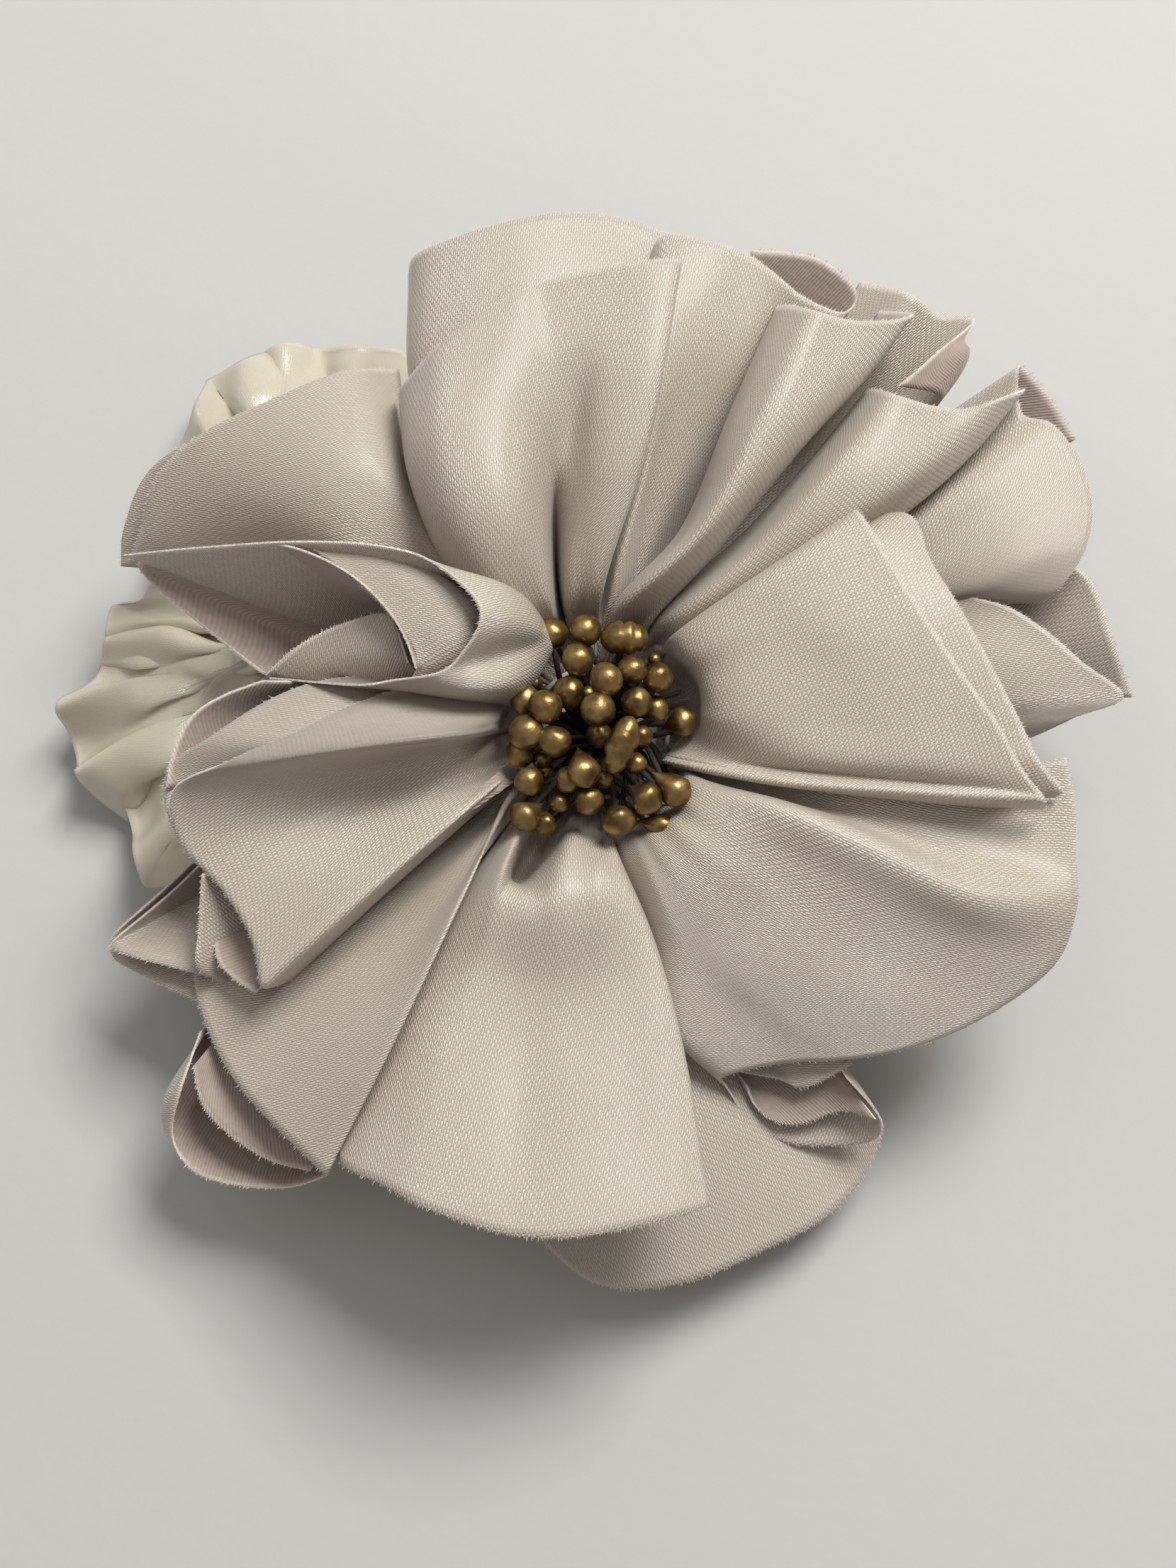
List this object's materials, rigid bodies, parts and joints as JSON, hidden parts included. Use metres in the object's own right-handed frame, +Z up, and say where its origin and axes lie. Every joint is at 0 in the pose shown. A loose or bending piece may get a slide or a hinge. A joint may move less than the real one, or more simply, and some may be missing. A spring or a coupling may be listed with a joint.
{
  "type": "flower hair clip",
  "caption": "Gathered satin flower with gold stamens and a smaller ivory flower, sewn on felt and glued to a sprung steel hair clip that opens.",
  "frame": {"origin": "centre of the bounding box, on the surface that the part stands on; the hinge lies at x = -12 mm, y = 0", "axes": "+Z up along the flower's axis, out of its face; +X along the clip towards the tips of its jaws; +Y across the clip"},
  "size_m": [0.1198, 0.1173, 0.0378],
  "materials": {
    "blush_satin": "satin weave, raw cut edge",
    "ivory_satin": "smooth glossy satin, sealed edge",
    "stamen_gold": "bronze-gold metallic paint",
    "stamen_stem": "dark waxed thread",
    "binding_wire": "satin",
    "thread": "twisted thread",
    "buckram": "stiff open weave",
    "felt": "matte felt",
    "glue": "clear hot-melt",
    "clip_steel": "nickel-plated strip",
    "pin_steel": "satin",
    "spring_wire": "drawn wire"
  },
  "bodies": {
    "flower": {"upper_arm": "clip_steel", "hinge_pin": "pin_steel", "spring": "spring_wire", "glue_layer": "glue", "felt_base": "felt", "blush_board": "buckram", "ivory_board": "buckram", "stamen_stems": "stamen_stem", "stamen_heads_round": "stamen_gold", "stamen_heads_drop": "stamen_gold", "binding_wire": "binding_wire", "gathering_thread": "thread", "petal_top_front": "blush_satin", "petal_upper_left": "blush_satin", "petal_left_cone": "blush_satin", "petal_left": "blush_satin", "petal_lower_left": "blush_satin", "petal_bottom_front": "blush_satin", "petal_lower_right": "blush_satin", "petal_right_front": "blush_satin", "petal_pleat_low": "blush_satin", "petal_pleat_middle": "blush_satin", "petal_pleat_high": "blush_satin", "petal_top_back": "blush_satin", "petal_upper_right_back": "blush_satin", "petal_right_back": "blush_satin", "petal_right_low": "blush_satin", "petal_bottom_back": "blush_satin", "petal_lower_left_curl": "blush_satin", "petal_left_tip": "blush_satin", "ivory_petal_1": "ivory_satin", "ivory_petal_2": "ivory_satin", "ivory_petal_3": "ivory_satin", "ivory_petal_4": "ivory_satin", "ivory_petal_5": "ivory_satin"},
    "lower_jaw": {"lower_arm": "clip_steel"}
  },
  "joints": [
    {"name": "jaw_hinge", "type": "hinge", "parent": "flower", "child": "lower_jaw", "pos_m": [-0.012, 0, 0.0074], "axis": [0, 1, 0], "range_deg": [0, 20], "stiffness_Nm_per_rad": 0.2, "springref_deg": -34.38, "deforming": ["spring"]}
  ]
}
